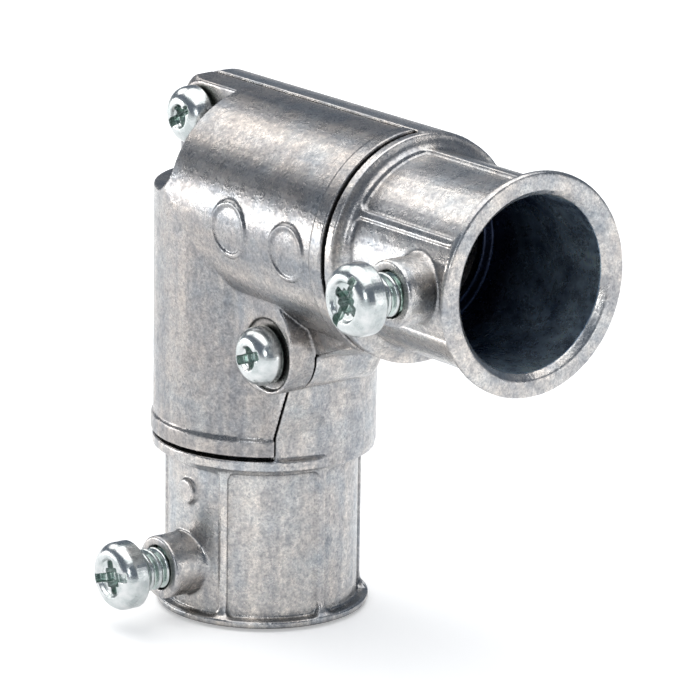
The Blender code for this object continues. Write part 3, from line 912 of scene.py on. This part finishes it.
def bore_mask(tree, place):
    """1 inside the sockets and the passage, where their painted shade goes, 0 on the outside."""
    x, y, z = parts_of(tree, place)
    up = maths(tree, "SUBTRACT", z, LEG)
    arms = ((up, x, BORE_BEND_GAP, LEG - MOUTH_CHAMFER), (x, z, MOUTH_CHAMFER, LEG - BORE_BEND_GAP))
    masks = []
    for across, along, low, high in arms:
        square = maths(tree, "ADD", maths(tree, "MULTIPLY", across, across),
                       maths(tree, "MULTIPLY", y, y))
        radius = maths(tree, "SQRT", square)
        inside = levels(tree, radius, BORE_RADIUS + BORE_EDGE_FAR, BORE_RADIUS + BORE_EDGE_NEAR,
                        0.0, 1.0)
        within = maths(tree, "MULTIPLY", maths(tree, "GREATER_THAN", along, low),
                       maths(tree, "LESS_THAN", along, high))
        masks.append(maths(tree, "MULTIPLY", inside, within))
    return maths(tree, "MAXIMUM", *masks)


def bore_painted_shade(tree, place, clouds):
    """Painted shade in the bores: cloudy metal painted darker and bluer from the mouth to the stop."""
    x, _, z = parts_of(tree, place)
    reach = maths(tree, "MAXIMUM", x, maths(tree, "SUBTRACT", LEG, z))
    depth = levels(tree, reach, STOP_FACE, LEG, 0.0, 1.0)
    return multiplied(tree, ramp(tree, depth, BORE_PAINTED_SHADE_TONES), ramp(tree, clouds, BORE_CLOUD_TONES))


def cast_finish(tree, shader, place, patches, pores, grain):
    """Cloudy roughness, and a bump of dents, pores and grain."""
    cloudy = levels(tree, patches, *NOISE_RANGE, *CAST_ROUGHNESS)
    fine = levels(tree, pores, *NOISE_RANGE, *PORE_ROUGHNESS)
    link(tree, maths(tree, "ADD", cloudy, fine), shader.inputs["Roughness"])
    dented = bumped(tree, noise(tree, place, *DENTS), *DENT_BUMP)
    pitted = bumped(tree, pores, *PORE_BUMP, dented)
    link(tree, bumped(tree, grain, *GRAIN_BUMP, pitted), shader.inputs["Normal"])


def cast_zinc(name, warm, cool, bore):
    """Satin die-cast zinc: tan and blue mottling, drawn marks with painted reflection streaks, painted
    shade in hollows and, when asked, in the bores, outer edges brightened as wear and painted highlight,
    cloudy roughness, grain and dents.
    """
    made, tree, shader = nodes_of(name)
    place = tree.nodes.new("ShaderNodeTexCoord").outputs["Object"]
    clouds = noise(tree, place, *CLOUDS)
    patches = noise(tree, place, *PATCHES)
    pores = noise(tree, place, *PORES)
    grain = noise(tree, place, *GRAIN)
    between = tuple((a + b) / 2 for a, b in zip(warm, cool))
    colour = ramp(tree, clouds, tuple(zip(CLOUD_STOPS, (cool, between, warm))))
    # Streaks along each arm: die marks and painted streaks of reflection
    colour = multiplied(tree, colour, ramp(tree, drawn_marks_and_painted_streaks(tree, place), MARK_AND_PAINTED_STREAK_TONES))
    colour = multiplied(tree, colour, ramp(tree, patches, PATCH_TONES))
    colour = multiplied(tree, colour, ramp(tree, pores, PORE_TONES), PORE_STRENGTH)
    colour = multiplied(tree, colour, ramp(tree, grain, GRAIN_TONES), GRAIN_STRENGTH)
    # Painted shade in hollows, and painted highlight with wear on outer edges
    colour = painted_shade_and_bright_edges(tree, colour)
    # Painted shade inside the sockets and the passage
    if bore:
        colour = mixed(tree, bore_mask(tree, place), colour, bore_painted_shade(tree, place, clouds))
    link(tree, colour, shader.inputs["Base Color"])
    shader.inputs["Metallic"].default_value = CAST_METALLIC
    cast_finish(tree, shader, place, patches, pores, grain)
    return made


def plated(name):
    """Bright zinc plating with cloudy roughness, a green tint and painted shade in the hollows, and a fine
    grain.
    """
    made, tree, shader = nodes_of(name)
    place = tree.nodes.new("ShaderNodeTexCoord").outputs["Object"]
    clouds = noise(tree, place, *PLATING_CLOUDS)
    grain = noise(tree, place, *PLATING_GRAIN)
    # Painted shade with a green tint: the plating is darkened and greened where nearby surfaces close in
    tint_and_painted_shade = ramp(tree, openness(tree, PLATING_PAINTED_SHADE, PLATING_SAMPLES), TINT_AND_PAINTED_SHADE_TONES)
    colour = multiplied(tree, ramp(tree, clouds, PLATING_TONES), tint_and_painted_shade)
    link(tree, colour, shader.inputs["Base Color"])
    shader.inputs["Metallic"].default_value = PLATING_METALLIC
    cloudy = levels(tree, clouds, *NOISE_RANGE, *PLATING_ROUGHNESS)
    link(tree, cloudy, shader.inputs["Roughness"])
    link(tree, bumped(tree, grain, *PLATING_BUMP), shader.inputs["Normal"])
    return made


# Pieces

def dressed(made, name, look, body, node, place=BEND):
    """Puts a piece in its place, gives it its material and lets it stand for its CAD node."""
    made.name = name
    made.data.materials.clear()
    made.data.materials.append(look)
    made.data.transform(Matrix.Translation(place))
    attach(made, body)
    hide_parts(node)
    return made


def castings():
    body_look = cast_zinc("cast_zinc_look", BODY_WARM, BODY_COOL, True)
    cover_look = cast_zinc("cast_zinc_cover_look", COVER_WARM, COVER_COOL, False)
    body = softened(elbow_casting(), CASTING_VOXEL, ELBOW_TRIANGLES)
    dressed(body, "elbow_casting", body_look, "elbow", "elbow_body")
    cover = softened(cover_casting(), CASTING_VOXEL, COVER_TRIANGLES)
    dressed(cover, "cover_casting", cover_look, "cover", "access_cover")


def cover_screws(look):
    outline = domed(COVER_HEAD_RADIUS, COVER_HEAD_FACE_RADIUS, COVER_HEAD_RIM, COVER_HEAD_HEIGHT)
    for where, seat, angle, part, body in (
            (-OUTER_SCREW, EAR_TOP, OUTER_DRIVE_ANGLE, "outer", "outer_cover_screw"),
            (INNER_SCREW, LUG_SEAT, INNER_DRIVE_ANGLE, "inner", "inner_cover_screw")):
        made = screw("cover_screw", outline, COVER_SHANK_RADIUS, COVER_SHANK_LENGTH, angle,
                     COVER_PITCH)
        dressed(made, "threaded_cover_screw_" + part, look, body, "cover_screw_" + part,
                BEND + Vector((where, -seat - FIT_GAP, -where)))


def set_screws(look):
    outline = domed(SET_HEAD_RADIUS, SET_HEAD_FACE_RADIUS, SET_HEAD_RIM, SET_HEAD_HEIGHT)
    for direction, standoff, angle, part, body in (
            ((1, 0, 0), SIDE_SCREW_STANDOFF, SIDE_DRIVE_ANGLE, "side", "side_set_screw"),
            ((0, 0, -1), LOWER_SCREW_STANDOFF, LOWER_DRIVE_ANGLE, "lower", "lower_set_screw")):
        made = screw("set_screw", outline, SET_SHANK_RADIUS, SET_SHANK_LENGTH, angle, SET_PITCH)
        place = BEND + Vector(direction) * SET_SCREW_PLACE + Vector((0, -BOSS_TOP - standoff, 0))
        dressed(made, "threaded_set_screw_" + part, look, body, "set_screw_" + part,
                place)


# Stage: metal sees the floor's glow and the room, and the lamps give most of the light

FLOOR_RADIUS = 0.42
FLOOR_STEPS = 96
FLOOR_DROP = 0.3 * MM
FLOOR_GLOW_START = 0.12
FLOOR_GLOW_NEAR = 0.38
FLOOR_GLOW_FAR = 0.85
FLOOR_COLOUR = (0.86, 0.86, 0.86)
FLOOR_ROUGHNESS = 0.9
TABLE_COLOUR = (1.0, 1.0, 1.0)
ROOM_COLOUR = (0.12, 0.15, 0.195)
HORIZON_TOP = 0.03
HORIZON_FOOT = -0.05

# The camera that was fitted to the photo: its view, its place from the bend and its focal length
CAMERA_VIEW = (0.7606, -0.5898, 0.2714)
CAMERA_RIGHT = 0.00926
CAMERA_UP = -0.01638
CAMERA_DISTANCE = 0.4915
CAMERA_ROLL = 0.90
FOCAL_PIXELS = 4576.8
PHOTO_PIXELS = 700
SENSOR_WIDTH = 36
NEAREST_SEEN = 0.01
FARTHEST_SEEN = 20.0

# Lamps: name, place, size, power and colour
LAMP_TARGET = (0.015, 0.0, 0.03)
LAMPS = (
    ("top_soft", (0.0, 0.0, 0.5), (0.7, 0.7), 3.4, (1.0, 0.985, 0.96)),
    ("left_soft", (-0.5, -0.06, 0.4), (0.34, 0.26), 0.72, (1.0, 0.97, 0.93)),
    ("low_left_soft", (-0.4, -0.33, 0.055), (0.3, 0.09), 0.66, (1.0, 0.99, 0.97)),
    ("right_soft", (0.45, 0.24, 0.1), (0.1, 0.3), 0.2, (1.0, 0.99, 0.97)),
    ("front_soft", (0.36, -0.42, 0.2), (0.14, 0.16), 0.38, (0.97, 0.99, 1.0)),
)


def seen_rays(tree):
    """1 for what is seen, by the camera, in metal or through glass, and 0 for the light."""
    rays = tree.nodes.new("ShaderNodeLightPath").outputs
    mirrored = maths(tree, "MAXIMUM", rays["Is Glossy Ray"], rays["Is Transmission Ray"])
    return maths(tree, "MAXIMUM", rays["Is Camera Ray"], mirrored)


def floor_paper():
    """Pale paper whose glow is only seen, more so towards its edge, and that is clear from below."""
    made, tree, shader = nodes_of("floor_paper")
    shader.inputs["Base Color"].default_value = (*FLOOR_COLOUR, 1.0)
    shader.inputs["Roughness"].default_value = FLOOR_ROUGHNESS
    shader.inputs["Emission Color"].default_value = (*TABLE_COLOUR, 1.0)
    from_middle = tree.nodes.new("ShaderNodeVectorMath")
    from_middle.operation = "LENGTH"
    link(tree, tree.nodes.new("ShaderNodeTexCoord").outputs["Object"], from_middle.inputs[0])
    glow = levels(tree, from_middle.outputs["Value"], FLOOR_GLOW_START, FLOOR_RADIUS,
                  FLOOR_GLOW_NEAR, FLOOR_GLOW_FAR)
    link(tree, maths(tree, "MULTIPLY", seen_rays(tree), glow), shader.inputs["Emission Strength"])
    back = tree.nodes.new("ShaderNodeNewGeometry").outputs["Backfacing"]
    direct = tree.nodes.new("ShaderNodeLightPath").outputs["Is Camera Ray"]
    clear = tree.nodes.new("ShaderNodeBsdfTransparent")
    sheet = tree.nodes.new("ShaderNodeMixShader")
    link(tree, maths(tree, "MULTIPLY", back, direct), sheet.inputs[0])
    link(tree, shader.outputs[0], sheet.inputs[1])
    link(tree, clear.outputs[0], sheet.inputs[2])
    link(tree, sheet.outputs[0], tree.nodes["Material Output"].inputs["Surface"])
    return made


def floor():
    """A pale sheet under the elbow that keeps the shadow."""
    bm = bmesh.new()
    bmesh.ops.create_circle(bm, cap_ends=True, segments=FLOOR_STEPS, radius=FLOOR_RADIUS)
    made = object_of(bm, "floor")
    if made.data.polygons[0].normal.z < 0:
        made.data.flip_normals()
    made.location = (0.0, 0.0, -FLOOR_DROP)
    made.data.materials.append(floor_paper())
    return made


def surroundings():
    """White all round for the camera. In metal, a white table to the horizon and a grey room above."""
    world = bpy.data.worlds.new("studio")
    bpy.context.scene.world = world
    world.use_nodes = True
    tree = world.node_tree
    back = tree.nodes["Background"]
    back.inputs["Strength"].default_value = 1.0
    direction = parts_of(tree, tree.nodes.new("ShaderNodeTexCoord").outputs["Generated"])
    below = levels(tree, direction["Z"], HORIZON_TOP, HORIZON_FOOT, 0.0, 1.0)
    direct = tree.nodes.new("ShaderNodeLightPath").outputs["Is Camera Ray"]
    table = maths(tree, "MULTIPLY", seen_rays(tree), maths(tree, "MAXIMUM", below, direct))
    link(tree, mixed(tree, table, ROOM_COLOUR, TABLE_COLOUR), back.inputs["Color"])


def camera():
    view = Vector(CAMERA_VIEW).normalized()
    right = Vector((0, 0, 1)).cross(view).normalized()
    up = view.cross(right).normalized()
    roll = math.radians(CAMERA_ROLL)
    across = right * math.cos(roll) + up * math.sin(roll)
    above = -right * math.sin(roll) + up * math.cos(roll)
    place = right * CAMERA_RIGHT + up * CAMERA_UP + view * CAMERA_DISTANCE + BEND
    data = bpy.data.cameras.new("camera")
    data.sensor_width = SENSOR_WIDTH
    data.lens = SENSOR_WIDTH * FOCAL_PIXELS / PHOTO_PIXELS
    data.clip_start = NEAREST_SEEN
    data.clip_end = FARTHEST_SEEN
    made = bpy.data.objects.new("camera", data)
    bpy.context.scene.collection.objects.link(made)
    made.matrix_world = Matrix(((across.x, above.x, view.x, place.x), (across.y, above.y, view.y, place.y),
                                (across.z, above.z, view.z, place.z), (0, 0, 0, 1)))
    bpy.context.scene.camera = made


def lamp(name, place, size, power, colour):
    """A rectangular lamp, aimed at the elbow, that the camera doesn't see."""
    data = bpy.data.lights.new(name, "AREA")
    data.shape = "RECTANGLE"
    data.size, data.size_y = size
    data.energy = power
    data.color = colour
    made = bpy.data.objects.new(name, data)
    bpy.context.scene.collection.objects.link(made)
    made.location = place
    aim = Vector(LAMP_TARGET) - Vector(place)
    made.rotation_mode = "QUATERNION"
    made.rotation_quaternion = aim.to_track_quat("-Z", "Y")
    made.visible_camera = False


castings()
steel = plated("plated_steel_look")
cover_screws(steel)
set_screws(steel)
floor()
surroundings()
camera()
for values in LAMPS:
    lamp(*values)
bpy.context.scene.view_settings.view_transform = "Standard"
